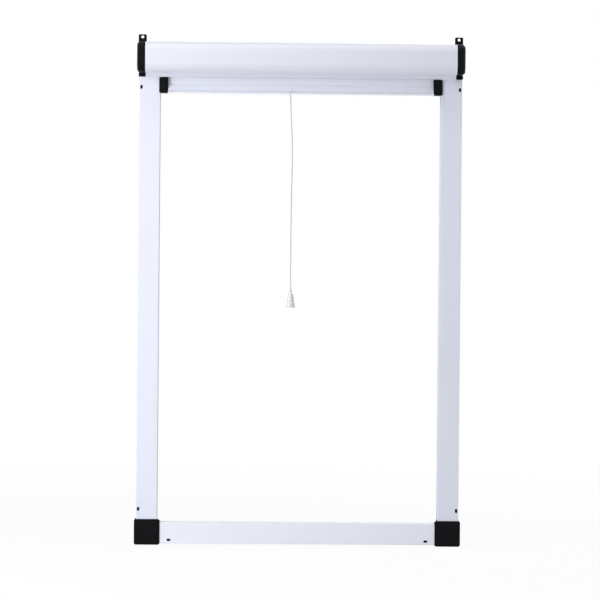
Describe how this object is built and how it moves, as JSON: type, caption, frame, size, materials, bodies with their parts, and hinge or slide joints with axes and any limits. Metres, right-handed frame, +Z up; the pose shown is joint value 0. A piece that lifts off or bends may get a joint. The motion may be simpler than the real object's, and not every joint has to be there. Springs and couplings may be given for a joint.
{
  "type": "retractable window screen frame",
  "caption": "Window screen frame: a sprung roller cassette over guide rails, a sill rail and corner blocks, with a pull bar, cord and bell that draw the insect screen down.",
  "frame": {"origin": "under the middle of the frame: the centre of its box in plan, at the foot of the corner blocks", "axes": "+Z up along the guide rails, +X to the right seen from the room, -Y towards the room"},
  "size_m": [0.4048, 0.045, 0.6335],
  "materials": {
    "white_powder_coat": "white powder coat, satin",
    "black_nylon": "moulded black nylon, satin",
    "pile": "woven pile brush",
    "plated_steel": "zinc plated",
    "mill_aluminium": "plain extruded",
    "screen_mesh": "coated glass fibre mesh",
    "grey_acetal": "moulded acetal",
    "bead_vinyl": "soft vinyl",
    "white_cord": "braided polyester",
    "pearl_plastic": "moulded, pearl white"
  },
  "bodies": {
    "frame": {"cassette_housing": "white_powder_coat", "left_end_cap": "black_nylon", "right_end_cap": "black_nylon", "left_guide_rail": "white_powder_coat", "right_guide_rail": "white_powder_coat", "bottom_rail": "white_powder_coat", "left_corner_block": "black_nylon", "right_corner_block": "black_nylon", "left_rail_front_brush": "pile", "left_rail_back_brush": "pile", "right_rail_front_brush": "pile", "right_rail_back_brush": "pile", "cassette_front_brush": "pile", "cassette_back_brush": "pile", "spring_shaft": "plated_steel", "torsion_spring": "plated_steel"},
    "bar": {"pull_bar": "white_powder_coat", "left_bar_slider": "black_nylon", "right_bar_slider": "black_nylon", "bar_bottom_brush": "pile", "bar_bead": "bead_vinyl", "screen_cloth": "screen_mesh", "cord_knot": "white_cord", "pull_cord": "white_cord", "cord_bell": "pearl_plastic"},
    "roller": {"roller_tube": "mill_aluminium", "screen_roll": "screen_mesh", "tube_bead": "bead_vinyl", "roller_idler_plug": "grey_acetal", "roller_spring_plug": "grey_acetal", "spring_anchor": "grey_acetal"}
  },
  "joints": [
    {"name": "bar_slide", "type": "slide", "parent": "frame", "child": "bar", "axis": [0, 0, -1], "range_m": [0, 0.528], "stiffness_N_per_m": 6, "springref_m": -1, "deforming": ["screen_cloth"]},
    {"name": "roller_turn", "type": "hinge", "parent": "frame", "child": "roller", "pos_m": [0, 0.00103, 0.603], "axis": [1, 0, 0], "range_deg": [-2944, 0]}
  ],
  "couplings": [
    {"joint": "roller_turn", "follows": "bar_slide", "rad_per_m": -97.276}
  ]
}
